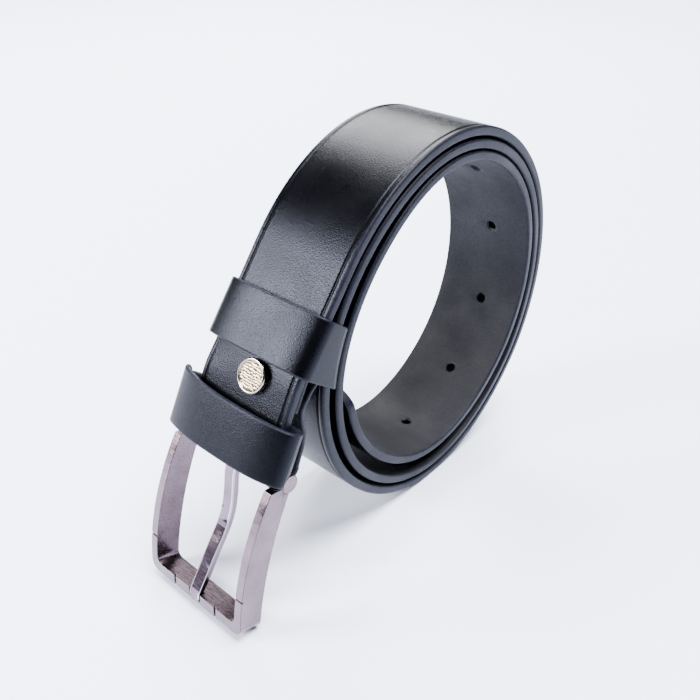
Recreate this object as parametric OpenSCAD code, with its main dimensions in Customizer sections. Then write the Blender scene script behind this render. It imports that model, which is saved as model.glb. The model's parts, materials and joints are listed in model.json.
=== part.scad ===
// Gentleman's leather belt, wound into a coil of three turns and stood on its edge.
// The buckle end leaves the coil at the upper left and runs down to the floor, so the coil
// and the buckle's end bar carry the belt between them.
// Millimetres. +Z is up, the strap's width runs along Y, and the outside of the strap end
// faces -X. The origin is on the floor, under the middle of the whole belt.

/* [Strap] */
// Width of the strap
strap_w = 35; // [28:0.5:42]
// Thickness of the strap's leather
strap_t = 3; // [2.6:0.1:3.6]
// Thickness of the leather where it is skived and folded round the bar
fold_t = 1.8; // [1.4:0.1:2.2]
// Radius of the round end of the tail, along the strap
tail_nose = 8; // [4:0.5:14]

/* [Coil] */
// Radius of the coil's outside where the strap leaves it
coil_r = 64; // [53:0.5:77]
// Angle of that place, counted from straight down, round by the buckle's side
lift_off = 127; // [124:0.5:130]
// Angle at which the tail ends, counted in the same way through all the turns
tail_angle = 1168; // [1150:1:1172]

/* [Adjustment holes] */
// Radius of a punched hole
hole_r = 2; // [1.6:0.1:2.5]
// Distance from one hole to the next
hole_pitch = 31; // [25:0.5:33]
// Number of holes
hole_count = 5; // [3:1:5]
// Distance from the tail's tip to the first hole
tip_to_hole = 78; // [70:1:95]
// Distance of the row of holes from the strap's middle
punch_offset = 1.5; // [0:0.25:3]

/* [Strap end] */
// Slope of the strap end beside the buckle, from upright
end_slope = 27; // [24:0.5:32]
// Length of the flat run from the bar to the bend
front_run = 24; // [20:0.5:28]
// Length of the bend between the two flat runs
bend_run = 12; // [8:0.5:14]
// Distance of the bar behind the strap's front face
bar_depth = 7; // [6.4:0.1:8]
// Outer radius of the fold round the bar
fold_r = 6.4; // [5.8:0.1:7.2]
// Length of the prong's slot, measured from the bar on either side
slot_reach = 9; // [7:0.5:11]

/* [Keepers] */
// Width of the lower keeper along the strap
lower_keeper_w = 16; // [12:0.5:17]
// Width of the upper keeper along the strap
upper_keeper_w = 17.4; // [13:0.2:19]
// Thickness of the keeper's leather
keeper_t = 1.8; // [1.5:0.1:2]
// Air between a keeper and the leather inside it
keeper_air = 0.4; // [0.3:0.05:0.6]
// Height of the lower keeper's bow above the strap
keeper_bow = 2; // [1:0.1:3]
// Distance of the lower keeper's bottom edge from the bar, up the strap
lower_keeper_at = 0.3; // [0:0.1:1]
// Distance of the upper keeper's bottom edge from the bar, up the strap
upper_keeper_at = 30.5; // [30.2:0.1:34]

/* [Screw] */
// Radius of the ornamental head
head_r = 5.1; // [4:0.1:5.6]
// Height of the head
head_h = 2; // [1.4:0.1:2.6]
// Distance of the screw from the bar, up the strap
screw_at = 25.2; // [24:0.1:27]
// Distance of the screw from the strap's middle
screw_offset = 2.4; // [0:0.2:3]
// Outer radius of the threaded post
post_r = 2.4; // [2:0.1:2.8]
// Radius of the screw's shank inside the post
shank_r = 1.5; // [1.2:0.1:1.7]

/* [Buckle] */
// Height of the bar above the floor
buckle_drop = 47.7; // [40:0.1:57]
// Width of one arm across the belt
arm_w = 2.8; // [2.2:0.1:3.4]
// Radius of the bar
bar_r = 1.75; // [1.4:0.05:2]
// Height of the end bar
end_bar_h = 3.7; // [3:0.1:4.6]
// Tilt of the end bar, so that it stands on its back edge
foot_tilt = 21; // [0:1:24]
// Radius of the outer lower corners
corner_r = 3.5; // [2:0.5:5]
// Width of the prong
prong_w = 4.2; // [3.4:0.1:4.8]
// Thickness of the prong
prong_t = 2.6; // [2:0.1:3]

/* [Hidden] */

LEATHER = [0.07, 0.08, 0.10];
LEATHER_EDGE = [0.16, 0.17, 0.20];
GUNMETAL = [0.62, 0.56, 0.60];
POLISHED = [0.75, 0.73, 0.76];
OLD_GOLD = [0.80, 0.72, 0.58];
STEEL = [0.55, 0.56, 0.58];

// Clearance of a turning fit, of a piece in its seat, and of a blade that cuts past a surface
fit_air = 0.08;
seat_air = 0.02;
past = 0.5;
reach_over = 60;

// ---- Coil: the outside face of the strap, as a radius that changes with the angle ----

// Out-of-roundness of the outer turn, at eight stations 45 degrees apart from 135 degrees on
station_step = 45;
station_start = 135;
out_of_round = [0, 1, -1, -2.8, -1.6, 0.5, -2.2, -3.2];
// Air between the outer turn and the next, and the next and the third, at those stations
outer_air = [1.4, 1, 0.6, 0.5, 0.6, 0.9, 1.4, 2.9];
inner_air = [2.6, 0.7, 0.8, 1.6, 3.2, 4.2, 4.2, 1.8];

function station_r(i) =
    let (turn = floor(i / 8), k = i - 8 * turn)
    coil_r + out_of_round[k] - turn * strap_t
        - (turn > 0 ? outer_air[k] : 0) - (turn > 1 ? inner_air[k] : 0);

// A smooth curve through four values in a row, for the stretch between the middle two
function smooth(a, b, c, d, t) =
    0.5 * (2 * b + (c - a) * t + (2 * a - 5 * b + 4 * c - d) * t * t
        + (3 * b - a - 3 * c + d) * t * t * t);

function coil_radius(angle) =
    let (at = (angle - station_start) / station_step, i = floor(at))
    smooth(station_r(max(i - 1, 0)), station_r(max(i, 0)), station_r(min(i + 1, 23)),
        station_r(min(i + 2, 23)), at - i);

function on_coil(angle, depth = 0) =
    let (r = coil_radius(angle) - depth)
    [-r * sin(angle), -r * cos(angle)];

coil_bottom = coil_radius(360);
coil_right = coil_radius(270);

// ---- Strap end: flat run, bend, flat run, fold and leaf, from the coil to the bar ----

lift_slope = lift_off - 90;
bend_turn = lift_slope - end_slope;
lift_point = on_coil(lift_off);
function downhill(slope) = [-sin(slope), -cos(slope)];
function backward(slope) = [cos(slope), -sin(slope)];

bend_steps = 6;
function bend_chord(n) = n == 0 ? [0, 0]
    : bend_chord(n - 1)
        + downhill(lift_slope - bend_turn * (n - 0.5) / bend_steps) * bend_run / bend_steps;

// The upper flat run is as long as it takes to bring the bar to its height above the floor
bar_height = buckle_drop - coil_bottom;
below_run = bend_chord(bend_steps) + downhill(end_slope) * front_run
    + backward(end_slope) * bar_depth;
upper_run = (lift_point[1] + below_run[1] - bar_height) / cos(lift_slope);
bend_start = lift_point + downhill(lift_slope) * upper_run;
bend_end = bend_start + bend_chord(bend_steps);
// Front face abreast of the bar, and the bar itself
end_datum = bend_end + downhill(end_slope) * front_run;
bar_at = end_datum + backward(end_slope) * bar_depth;

// A place on the strap end: depth behind the front face, and distance up from the bar
function on_end(depth, up) =
    end_datum + backward(end_slope) * depth - downhill(end_slope) * up;

// Fold: the leather passes under the bar and hangs on it
fold_up = fold_r - fold_t - bar_r - fit_air;
fold_steps = 20;
function on_fold(turn) =
    on_end(bar_depth - fold_r * cos(turn), fold_up - fold_r * sin(turn));

// Outside face of the folded-back leaf: depth and distance up from the bar. It comes to lie
// flat where the screw's flange holds it
clamp_depth = 9.4;
flange_r = 4;
leaf = [[13.4, 2.8], [13.6, 8.5], [12.8, 14], [10.8, 18.4], [clamp_depth, screw_at - flange_r],
    [clamp_depth, screw_at], [clamp_depth, screw_at + flange_r], [9.2, 34.5]];
leaf_steps = 4;
function leaf_point(i, t) =
    let (a = leaf[max(i - 1, 0)], b = leaf[i], c = leaf[i + 1], d = leaf[min(i + 2, len(leaf) - 1)])
    on_end(smooth(a[0], b[0], c[0], d[0], t), smooth(a[1], b[1], c[1], d[1], t));

// The skive: full thickness at the screw, thin before the fold
skive_steps = 6;
skive_from = 14;
skive_to = 5;
function skived(share) = strap_t + (fold_t - strap_t) * share;
front_dip = bar_depth - fold_r;

coil_step = 5;
strap_path = concat(
    [for (a = [tail_angle : -coil_step : lift_off]) [on_coil(a), strap_t]],
    [for (i = [1 : 3]) [lift_point + downhill(lift_slope) * upper_run * i / 4, strap_t]],
    [for (n = [0 : bend_steps]) [bend_start + bend_chord(n), strap_t]],
    [for (i = [0 : skive_steps])
        let (share = i / skive_steps, up = skive_from + (skive_to - skive_from) * share)
        [on_end(front_dip * share * share, up), skived(share)]],
    [for (i = [0 : fold_steps]) [on_fold(180 * i / fold_steps), fold_t]],
    [for (i = [0 : len(leaf) - 2], k = [0 : leaf_steps - 1])
        if (i > 0 || k > 0) [leaf_point(i, k / leaf_steps), fold_t]],
    [[on_end(leaf[len(leaf) - 1][0], leaf[len(leaf) - 1][1]), fold_t]]);

function unit(v) = v / norm(v);
function travel(path, i) =
    unit(path[min(i + 1, len(path) - 1)][0] - path[max(i - 1, 0)][0]);
function inside_face(path, i) =
    let (d = travel(path, i)) path[i][0] + [-d[1], d[0]] * path[i][1];
function band(path) = concat(
    [for (p = path) p[0]],
    [for (i = [len(path) - 1 : -1 : 0]) inside_face(path, i)]);

// ---- Placing: the middle of the belt stands over the origin ----

front_arc_r = 87;
back_arc_r = 127;
// Ends of the frame's front and back rims, seen from the side and measured from the bar
rim_top_front = [-7.4, 1.2];
rim_top_back = [0.7, -0.3];
rim_foot_front = [-22, -buckle_drop];
rim_foot_back = [-14.3, -buckle_drop];
prong_proud = 0.3;
belt_left = bar_at[0] + rim_foot_front[0] - prong_proud;
shift = [-(belt_left + coil_right) / 2, coil_bottom];

module side_view(width) {
    translate([shift[0], 0, shift[1]]) rotate([90, 0, 0])
        linear_extrude(height = width, center = true) children();
}

// Local frame of the strap end: +X goes in from the front face and +Z up the strap
module at_end(up = 0) {
    translate([end_datum[0] + shift[0], 0, end_datum[1] + shift[1]]) rotate([0, end_slope, 0])
        translate([0, 0, up]) children();
}

module at_bar() {
    translate([bar_at[0] + shift[0], 0, bar_at[1] + shift[1]]) children();
}

// Local frame of the upper keeper: the origin is on the front face, at the keeper's bottom edge
module at_upper_keeper() {
    p = lift_point + downhill(lift_slope) * upper_keeper_down;
    translate([p[0] + shift[0], 0, p[1] + shift[1]]) rotate([0, lift_slope, 0]) children();
}

// ---- Strap ----

function turn_by(length, angle) = length / (coil_radius(angle) - strap_t / 2) * 180 / PI;
function hole_angle(i) = i == 0 ? tail_angle - turn_by(tip_to_hole, tail_angle - 45)
    : hole_angle(i - 1) - turn_by(hole_pitch, hole_angle(i - 1));

module hole_cutters() {
    for (i = [0 : hole_count - 1]) {
        p = on_coil(hole_angle(i), strap_t / 2);
        translate([p[0] + shift[0], -punch_offset, p[1] + shift[1]])
            rotate([0, hole_angle(i) + 180, 0])
                cylinder(h = strap_t + 2 * past, r = hole_r, center = true, $fn = 48);
    }
}

// What is left over beyond the round end of the tail
module tail_waste() {
    p = on_coil(tail_angle, strap_t / 2);
    half = strap_w / 2;
    translate([p[0] + shift[0], 0, p[1] + shift[1]]) rotate([0, tail_angle + 180, 0])
        linear_extrude(height = strap_t + 4 * past, center = true)
            for (side = [-1, 1])
                polygon(concat(
                    [for (a = [0 : 7.5 : 90])
                        [tail_nose * (cos(a) - 1), side * half * sin(a)]],
                    [[-tail_nose, side * (half + past)], [past, side * (half + past)],
                        [past, 0]]));
}

slot_side_air = 1;
module prong_slot() {
    at_end() translate([bar_depth, 0, 0])
        cube([2 * (fold_r + 4 * past), prong_w + 2 * slot_side_air, 2 * slot_reach],
            center = true);
}

module strap() {
    color(LEATHER) difference() {
        side_view(strap_w) polygon(band(strap_path));
        hole_cutters();
        tail_waste();
        prong_slot();
        screw_passage();
    }
}

// Hole for the screw's post through every leather at the screw
module screw_passage() {
    at_end(screw_at) translate([-past, -screw_offset, 0]) rotate([0, 90, 0])
        cylinder(h = grip + 2 * past, r = post_r + fit_air, $fn = 48);
}

// ---- Backing leaf: a short leather behind the strap's front, held by the screw ----

backing_t = 1.8;
backing_air = 0.2;
backing_seat = strap_t + backing_air;
backing = [[0, 20], [0, 26], [0.1, 30], [1, 34.5]];
backing_path = [for (i = [0 : len(backing) - 2], k = [0 : 4])
    if (k < 4 || i == len(backing) - 2)
        let (a = backing[max(i - 1, 0)], b = backing[i], c = backing[i + 1],
            d = backing[min(i + 2, len(backing) - 1)], t = k / 4)
        [on_end(backing_seat + smooth(a[0], b[0], c[0], d[0], t),
            smooth(a[1], b[1], c[1], d[1], t)), -backing_t]];

backing_inset = 1;
module backing_leaf() {
    color(LEATHER_EDGE) difference() {
        side_view(strap_w - backing_inset) polygon(band(backing_path));
        screw_passage();
    }
}

hub_r = bar_r + 1.5;

// ---- Keepers: flat leather loops, closed by a staple in the back wall ----

// Outline of a keeper's opening: a box with round sides, bowed out in front by bow
function loop_outline(half, front, back, bow, grow = 0) =
    let (side_r = (back - front) / 2, mid = (back + front) / 2, flat = half - side_r)
    concat(
        [for (a = [90 : -15 : -90])
            [mid - (side_r + grow) * sin(a), flat + (side_r + grow) * cos(a)]],
        [for (a = [90 : -15 : -90])
            [mid + (side_r + grow) * sin(a), -flat - (side_r + grow) * cos(a)]],
        [for (y = [-0.9 : 0.1 : 0.9])
            [front - grow - bow * (1 - y * y) * (1 - y * y), y * flat]]);

module leather_loop(width, half, front, back, bow) {
    linear_extrude(height = width) difference() {
        polygon(loop_outline(half, front, back, bow, keeper_t));
        polygon(loop_outline(half, front, back, bow));
    }
}

staple_w = 8;
staple_wire = 0.7;
// A staple in a back wall: its crown lies flush in the outside, its legs go through. The walls
// are cut with the same shape, with air round it
module staple(air = 0) {
    side = staple_wire + 2 * air;
    extra = air > 0 ? past : 0;
    translate([keeper_t - staple_wire + (staple_wire + extra) / 2 - air / 2, 0, 0])
        cube([staple_wire + extra + air, staple_w + 2 * air, side], center = true);
    for (y = [-1, 1])
        translate([keeper_t / 2, y * (staple_w - staple_wire) / 2, 0])
            cube([keeper_t + 2 * extra, side, side], center = true);
}

// The lower keeper goes round the front leather only, inside the fold
lower_side_air = 3.2;
lower_half = strap_w / 2 + lower_side_air;
lower_front = -keeper_air;
lower_back = strap_t + keeper_air;
bar_relief = hub_r + keeper_air - lower_keeper_at;
module at_lower_staple() {
    translate([lower_back, 0, (lower_keeper_w + bar_relief) / 2]) children();
}
module lower_keeper() {
    color(LEATHER) at_end(lower_keeper_at) difference() {
        leather_loop(lower_keeper_w, lower_half, lower_front, lower_back, keeper_bow);
        at_lower_staple() staple(seat_air);
        // The back wall is cut short above the bar
        translate([strap_t, -reach_over, -past])
            cube([2 * bar_depth, 2 * reach_over, bar_relief + past]);
    }
}
module lower_keeper_staple() {
    color(STEEL) at_end(lower_keeper_at) at_lower_staple() staple();
}

// The upper keeper goes round the strap end, the leaf and the second turn of the coil. Its back
// wall follows the second turn, between that turn and the third
upper_side_air = 0.3;
upper_half = strap_w / 2 + upper_side_air;
upper_corner_r = 0.9;
upper_keeper_down = upper_run + bend_run + front_run - upper_keeper_at;
second_turn = [for (a = [lift_off + 280 : 3 : lift_off + 400]) a];
function second_turn_depth(down) = lookup(down, [for (a = second_turn)
    let (from_lift = on_coil(a, strap_t) - lift_point)
        [from_lift * downhill(lift_slope), from_lift * backward(lift_slope)]]);

// What lies within the keeper, or within its outside face when grow is the leather's thickness
module upper_loop_core(grow) {
    intersection() {
        side_view(2 * (upper_half + grow))
            polygon(concat([for (a = second_turn) on_coil(a, strap_t + keeper_air + grow)],
                [lift_point + [-reach_over, reach_over], lift_point + [-reach_over, -reach_over]]));
        at_upper_keeper() linear_extrude(height = 4 * upper_keeper_w, center = true) union() {
            translate([upper_corner_r - keeper_air, -upper_half - grow])
                square([reach_over, 2 * (upper_half + grow)]);
            translate([-keeper_air - grow, upper_corner_r - upper_half])
                square([reach_over, 2 * (upper_half - upper_corner_r)]);
            for (side = [-1, 1])
                translate([upper_corner_r - keeper_air, side * (upper_half - upper_corner_r)])
                    circle(r = upper_corner_r + grow, $fn = 48);
        }
    }
}

// Local frame of the upper staple, on the inside of the back wall and square to it
staple_down = upper_keeper_down - upper_keeper_w / 2;
staple_lean = atan((second_turn_depth(staple_down + 1) - second_turn_depth(staple_down - 1)) / 2);
module at_upper_staple() {
    at_upper_keeper()
        translate([second_turn_depth(staple_down) + keeper_air / cos(staple_lean), 0,
                upper_keeper_w / 2])
            rotate([0, -staple_lean, 0]) children();
}

module upper_keeper() {
    color(LEATHER) difference() {
        intersection() {
            upper_loop_core(keeper_t);
            at_upper_keeper() translate([-reach_over / 2, -reach_over / 2, 0])
                cube([2 * reach_over, reach_over, upper_keeper_w]);
        }
        upper_loop_core(0);
        at_upper_staple() staple(seat_air);
    }
}
module upper_keeper_staple() {
    color(STEEL) at_upper_staple() staple();
}

// ---- Screw ----

// From the strap's front to the back of the folded-back leaf, at the screw
grip = clamp_depth + 0.1;
rim_w = 0.8;
dish = 0.5;
shank_end = 2;
head_bevel = 0.5;
foot_bevel = 0.4;
module screw_head() {
    color(OLD_GOLD) at_end(screw_at) translate([0, -screw_offset, 0]) rotate([0, 90, 0]) {
        translate([0, 0, -head_h - seat_air]) difference() {
            rotate_extrude($fn = 96) polygon([[0, 0], [head_r - head_bevel, 0],
                [head_r, head_bevel], [head_r, head_h - foot_bevel],
                [head_r - foot_bevel, head_h], [0, head_h]]);
            translate([0, 0, -past]) cylinder(h = past + dish, r = head_r - rim_w, $fn = 96);
        }
        translate([0, 0, -head_h / 2])
            cylinder(h = head_h / 2 + grip - shank_end, r = shank_r, $fn = 48);
    }
}

flange_h = 1.2;
post_recess = 0.3;
module screw_post() {
    color(OLD_GOLD) at_end(screw_at) translate([0, -screw_offset, 0]) rotate([0, 90, 0])
        difference() {
            union() {
                translate([0, 0, post_recess])
                    cylinder(h = grip - post_recess, r = post_r, $fn = 64);
                translate([0, 0, grip]) cylinder(h = flange_h, r = flange_r, $fn = 96);
            }
            translate([0, 0, -past])
                cylinder(h = grip - shank_end / 2 + past, r = shank_r + seat_air, $fn = 48);
        }
}

// ---- Buckle ----

frame_side_air = 0.3;
window_half = strap_w / 2 + frame_side_air;
frame_half = window_half + arm_w;
lug_r = bar_r + 1.1;
bar_cap = 0.4;
bar_half = frame_half - bar_cap;

// An arc of the given radius down from a to b, bowed out to the front
function rim_arc(a, b, radius) =
    let (half = norm(b - a) / 2, way = unit(b - a), front = [way[1], -way[0]],
        middle = (a + b) / 2 - front * sqrt(radius * radius - half * half),
        reach = asin(half / radius))
    [for (i = [0 : rim_steps]) let (t = reach * (2 * i / rim_steps - 1))
        middle + radius * (front * cos(t) + way * sin(t))];

rim_steps = 16;
front_rim = rim_arc(rim_top_front, rim_foot_front, front_arc_r);
back_rim = rim_arc(rim_top_back, rim_foot_back, back_arc_r);
frame_profile = concat(front_rim, [for (i = [rim_steps : -1 : 0]) back_rim[i]]);

// Local frame of the end bar: the origin is under its back edge
module at_foot() {
    translate([rim_foot_back[0], 0, -buckle_drop]) rotate([0, foot_tilt, 0]) children();
}

// A tall shape with a straight foot and rounded lower corners, as wide as 2 * half
module from_the_front(half, foot, radius) {
    at_foot() rotate([90, 0, -90]) linear_extrude(height = 2 * reach_over, center = true) union() {
        translate([-half, foot + radius]) square([2 * half, reach_over]);
        translate([-half + radius, foot]) square([2 * (half - radius), radius * 2]);
        for (side = [-1, 1])
            translate([side * (half - radius), foot + radius]) circle(r = radius, $fn = 64);
    }
}

// Seat for the prong's tip, cut into the end bar from the front and the top
seat_air_side = 0.3;
seat_back = -19.5;
seat_foot = 3.9;
module prong_seat() {
    translate([rim_foot_front[0] - past, -prong_w / 2 - seat_air_side, seat_foot - buckle_drop])
        cube([seat_back - rim_foot_front[0] + past, prong_w + 2 * seat_air_side, 2 * end_bar_h]);
}

notch_w = 0.7;
notch_depth = 0.5;
foot_notch_depth = 0.8;
notch_up = 16.4;
notch_side = 9.2;
window_corner_r = 2.4;
// Where the front rim stands at the height of the notches
rim_notch_x = lookup(notch_up - buckle_drop, [for (p = front_rim) [p[1], p[0]]]);

// Fine notches across the front rim, on the arms and on the end bar
module rim_notches() {
    for (side = [-1, 1]) {
        translate([rim_foot_front[0] - past, side * (window_half + arm_w / 2) - arm_w,
                notch_up - buckle_drop])
            cube([rim_notch_x - rim_foot_front[0] + past + notch_depth, 2 * arm_w, notch_w]);
        translate([rim_foot_front[0] - past, side * notch_side - notch_w / 2, -buckle_drop])
            cube([past + foot_notch_depth, notch_w, 3 * end_bar_h]);
    }
}

module buckle_frame() {
    color(GUNMETAL) at_bar() difference() {
        union() {
            intersection() {
                rotate([90, 0, 0]) linear_extrude(height = 2 * frame_half, center = true)
                    polygon(frame_profile);
                from_the_front(frame_half, 0, corner_r);
            }
            for (side = [-1, 1])
                translate([0, side * (window_half + arm_w / 2), 0]) rotate([90, 0, 0])
                    cylinder(h = arm_w, r = lug_r, center = true, $fn = 64);
        }
        from_the_front(window_half, end_bar_h, window_corner_r);
        rotate([90, 0, 0])
            cylinder(h = 2 * bar_half, r = bar_r + seat_air, center = true, $fn = 64);
        prong_seat();
        rim_notches();
    }
}

module buckle_bar() {
    color(STEEL) at_bar() rotate([90, 0, 0])
        cylinder(h = 2 * (bar_half - seat_air), r = bar_r, center = true, $fn = 64);
}

// ---- Prong: its outer face, seen from the side and measured from the bar ----

prong_line = [[-3, 0], [-4.8, -4.5], [-5.6, -10], [-6.9, -16.5], [-9.5, -22.3], [-13.9, -28.6],
    [-17.9, -34.8], [-20.6, -38.8], [-21.9, -41], [-22.3, -43.2]];
prong_steps = 4;
prong_tip_t = 1.6;
prong_taper = 0.4;
prong_path = concat(
    [for (i = [0 : len(prong_line) - 2], k = [0 : prong_steps - 1])
        let (a = prong_line[max(i - 1, 0)], b = prong_line[i], c = prong_line[i + 1],
            d = prong_line[min(i + 2, len(prong_line) - 1)], t = k / prong_steps)
        [[smooth(a[0], b[0], c[0], d[0], t), smooth(a[1], b[1], c[1], d[1], t)],
            min(prong_t, prong_tip_t + prong_taper * (len(prong_line) - 1 - i - t))]],
    [[prong_line[len(prong_line) - 1], prong_tip_t]]);

module prong() {
    color(POLISHED) at_bar() difference() {
        union() {
            rotate([90, 0, 0]) linear_extrude(height = prong_w, center = true)
                polygon(band(prong_path));
            rotate([90, 0, 0]) cylinder(h = prong_w, r = hub_r, center = true, $fn = 64);
        }
        rotate([90, 0, 0])
            cylinder(h = prong_w + 2 * past, r = bar_r + fit_air, center = true, $fn = 64);
    }
}

strap();
backing_leaf();
lower_keeper();
lower_keeper_staple();
upper_keeper();
upper_keeper_staple();
buckle_frame();
buckle_bar();
prong();
screw_head();
screw_post();
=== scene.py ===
"""A gentleman's leather belt, rolled into a coil of three turns and stood on its edge.

The strap, the backing leaf, the two keepers and the ornamental screw are built here as detailed
meshes over the engineering model. The buckle's frame, its bar, the prong, the post and the
staples are the engineering solids, with their edges eased and their plating added; the frame's
eased edges carry a painted dark reflection, and the prong's a painted highlight.
Lengths are in millimetres, and become metres as each mesh is made.
"""

import bmesh
import bpy
import json
import logging
import math
from dataclasses import dataclass, field
from enum import Enum
from typing import Callable, Sequence

from mathutils import Matrix, Vector

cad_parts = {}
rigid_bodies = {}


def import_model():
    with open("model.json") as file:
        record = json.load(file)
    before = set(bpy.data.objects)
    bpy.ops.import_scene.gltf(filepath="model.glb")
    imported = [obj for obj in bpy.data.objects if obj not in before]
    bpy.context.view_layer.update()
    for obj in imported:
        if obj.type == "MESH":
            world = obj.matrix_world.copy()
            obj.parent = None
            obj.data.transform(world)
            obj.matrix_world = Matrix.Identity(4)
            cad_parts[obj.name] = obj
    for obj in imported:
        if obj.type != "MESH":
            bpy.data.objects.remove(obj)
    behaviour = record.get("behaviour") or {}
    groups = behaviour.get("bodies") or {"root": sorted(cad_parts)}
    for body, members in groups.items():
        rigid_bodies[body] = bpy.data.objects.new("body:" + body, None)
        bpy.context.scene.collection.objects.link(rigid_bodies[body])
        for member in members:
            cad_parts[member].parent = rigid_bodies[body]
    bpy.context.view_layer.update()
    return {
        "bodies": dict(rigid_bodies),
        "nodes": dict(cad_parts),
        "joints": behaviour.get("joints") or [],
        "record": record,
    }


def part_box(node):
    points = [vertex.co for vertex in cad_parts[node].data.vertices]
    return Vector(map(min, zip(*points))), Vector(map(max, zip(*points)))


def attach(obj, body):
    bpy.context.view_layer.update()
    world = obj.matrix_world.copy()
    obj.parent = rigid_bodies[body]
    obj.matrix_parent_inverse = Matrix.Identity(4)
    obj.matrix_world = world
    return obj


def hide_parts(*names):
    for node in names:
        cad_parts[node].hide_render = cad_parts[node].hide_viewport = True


MM = 0.001
LOG = logging.getLogger("belt")

Flat = tuple[float, float]


class Body(str, Enum):
    """The bodies that the pieces built here ride on."""

    BELT = "belt"
    LOWER_LOOP = "lower_loop"
    UPPER_LOOP = "upper_loop"


class Slot(str, Enum):
    """Names for material slots; no piece built here is given them."""

    LEATHER = "leather"
    EDGE = "leather_edge"
    OLD_GOLD = "old_gold"


class Side(int, Enum):
    """The three dressed surfaces of a cut strip of leather, as material numbers."""

    GRAIN = 0
    EDGE = 1
    FLESH = 2


class Head(int, Enum):
    """The two dressed surfaces of the screw's head, as material numbers."""

    RIM = 0
    FACE = 1


# ---- Finishes ----


class Shader:
    """A material's node tree, built one node at a time."""

    def __init__(self, name: str) -> None:
        """Starts a material with a Principled surface.

        Args:
            name: What the finish is called in the workshop.
        """
        self.material = bpy.data.materials.new(name)
        self.material.use_nodes = True
        self.tree = self.material.node_tree
        self.tree.nodes.clear()
        self.surface = self.node("ShaderNodeBsdfPrincipled")
        output = self.node("ShaderNodeOutputMaterial")
        self.link(self.surface.outputs[0], output.inputs["Surface"])
        self.place = self.node("ShaderNodeTexCoord").outputs["Object"]

    def node(self, kind: str, **settings: object) -> bpy.types.Node:
        """Adds a node.

        Args:
            kind: Blender's name for the node's type.
            settings: Attributes to set on it.

        Returns:
            The new node.
        """
        made = self.tree.nodes.new(kind)
        for key, value in settings.items():
            setattr(made, key, value)
        return made

    def link(self, source: bpy.types.NodeSocket, target: bpy.types.NodeSocket) -> None:
        """Joins two sockets."""
        self.tree.links.new(source, target)

    def paint(self, colour: bpy.types.NodeSocket) -> None:
        """Leads a colour to the surface."""
        self.link(colour, self.surface.inputs["Base Color"])

    def set(self, **values: object) -> None:
        """Sets the surface's own sockets; an underscore in a name stands for a space."""
        for key, value in values.items():
            self.surface.inputs[key.replace("_", " ")].default_value = value

    def noise(
        self, scale: float, detail: float = 4.0, stretch: Vector | None = None
    ) -> bpy.types.NodeSocket:
        """Adds a noise pattern.

        Args:
            scale: Its scale, in waves per metre.
            detail: How many octaves it has.
            stretch: Scales along the three axes, for a drawn-out pattern.

        Returns:
            The pattern's value socket.
        """
        made = self.node("ShaderNodeTexNoise")
        made.inputs["Scale"].default_value = scale
        made.inputs["Detail"].default_value = detail
        place = self.place
        if stretch is not None:
            mapping = self.node("ShaderNodeMapping")
            mapping.inputs["Scale"].default_value = stretch
            self.link(place, mapping.inputs["Vector"])
            place = mapping.outputs[0]
        self.link(place, made.inputs["Vector"])
        return made.outputs[0]

    def cells(self, scale: float, feature: str = "F1") -> bpy.types.NodeSocket:
        """Adds a cell pattern and returns its distance socket.

        Args:
            scale: Its scale, in cells per metre.
            feature: Which distance it gives.

        Returns:
            The pattern's distance socket.
        """
        made = self.node("ShaderNodeTexVoronoi", feature=feature)
        made.inputs["Scale"].default_value = scale
        self.link(self.place, made.inputs["Vector"])
        return made.outputs["Distance"]

    def ramp(
        self, value: bpy.types.NodeSocket, stops: Sequence[tuple[float, tuple[float, ...]]]
    ) -> bpy.types.NodeSocket:
        """Turns a value into a colour.

        Args:
            value: The socket to read.
            stops: Places from 0 to 1 and the colour at each.

        Returns:
            The colour socket.
        """
        made = self.node("ShaderNodeValToRGB")
        ramp = made.color_ramp
        while len(ramp.elements) < len(stops):
            ramp.elements.new(0.5)
        for element, (at, colour) in zip(ramp.elements, stops):
            element.position = at
            element.color = (*colour, 1.0)
        self.link(value, made.inputs[0])
        return made.outputs[0]

    def spread(
        self,
        value: bpy.types.NodeSocket,
        low: float,
        high: float,
        start: float = 0.3,
        end: float = 0.7,
    ) -> bpy.types.NodeSocket:
        """Maps a pattern's value onto a range.

        Args:
            value: The pattern.
            low: Result at start.
            high: Result at end.
            start: The pattern's value that gives low.
            end: The pattern's value that gives high.

        Returns:
            The mapped value socket.
        """
        made = self.node("ShaderNodeMapRange")
        ends = {"From Min": start, "From Max": end, "To Min": low, "To Max": high}
        for key, number in ends.items():
            made.inputs[key].default_value = number
        self.link(value, made.inputs["Value"])
        return made.outputs[0]

    def bump(self, *layers: tuple[bpy.types.NodeSocket, float, float]) -> None:
        """Stacks bump layers under the surface.

        Args:
            layers: For each layer its height socket, its depth in metres and its strength.
        """
        below = None
        for height, depth, strength in layers:
            made = self.node("ShaderNodeBump")
            made.inputs["Distance"].default_value = depth
            made.inputs["Strength"].default_value = strength
            self.link(height, made.inputs["Height"])
            if below is not None:
                self.link(below, made.inputs["Normal"])
            below = made.outputs[0]
        self.link(below, self.surface.inputs["Normal"])


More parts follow.
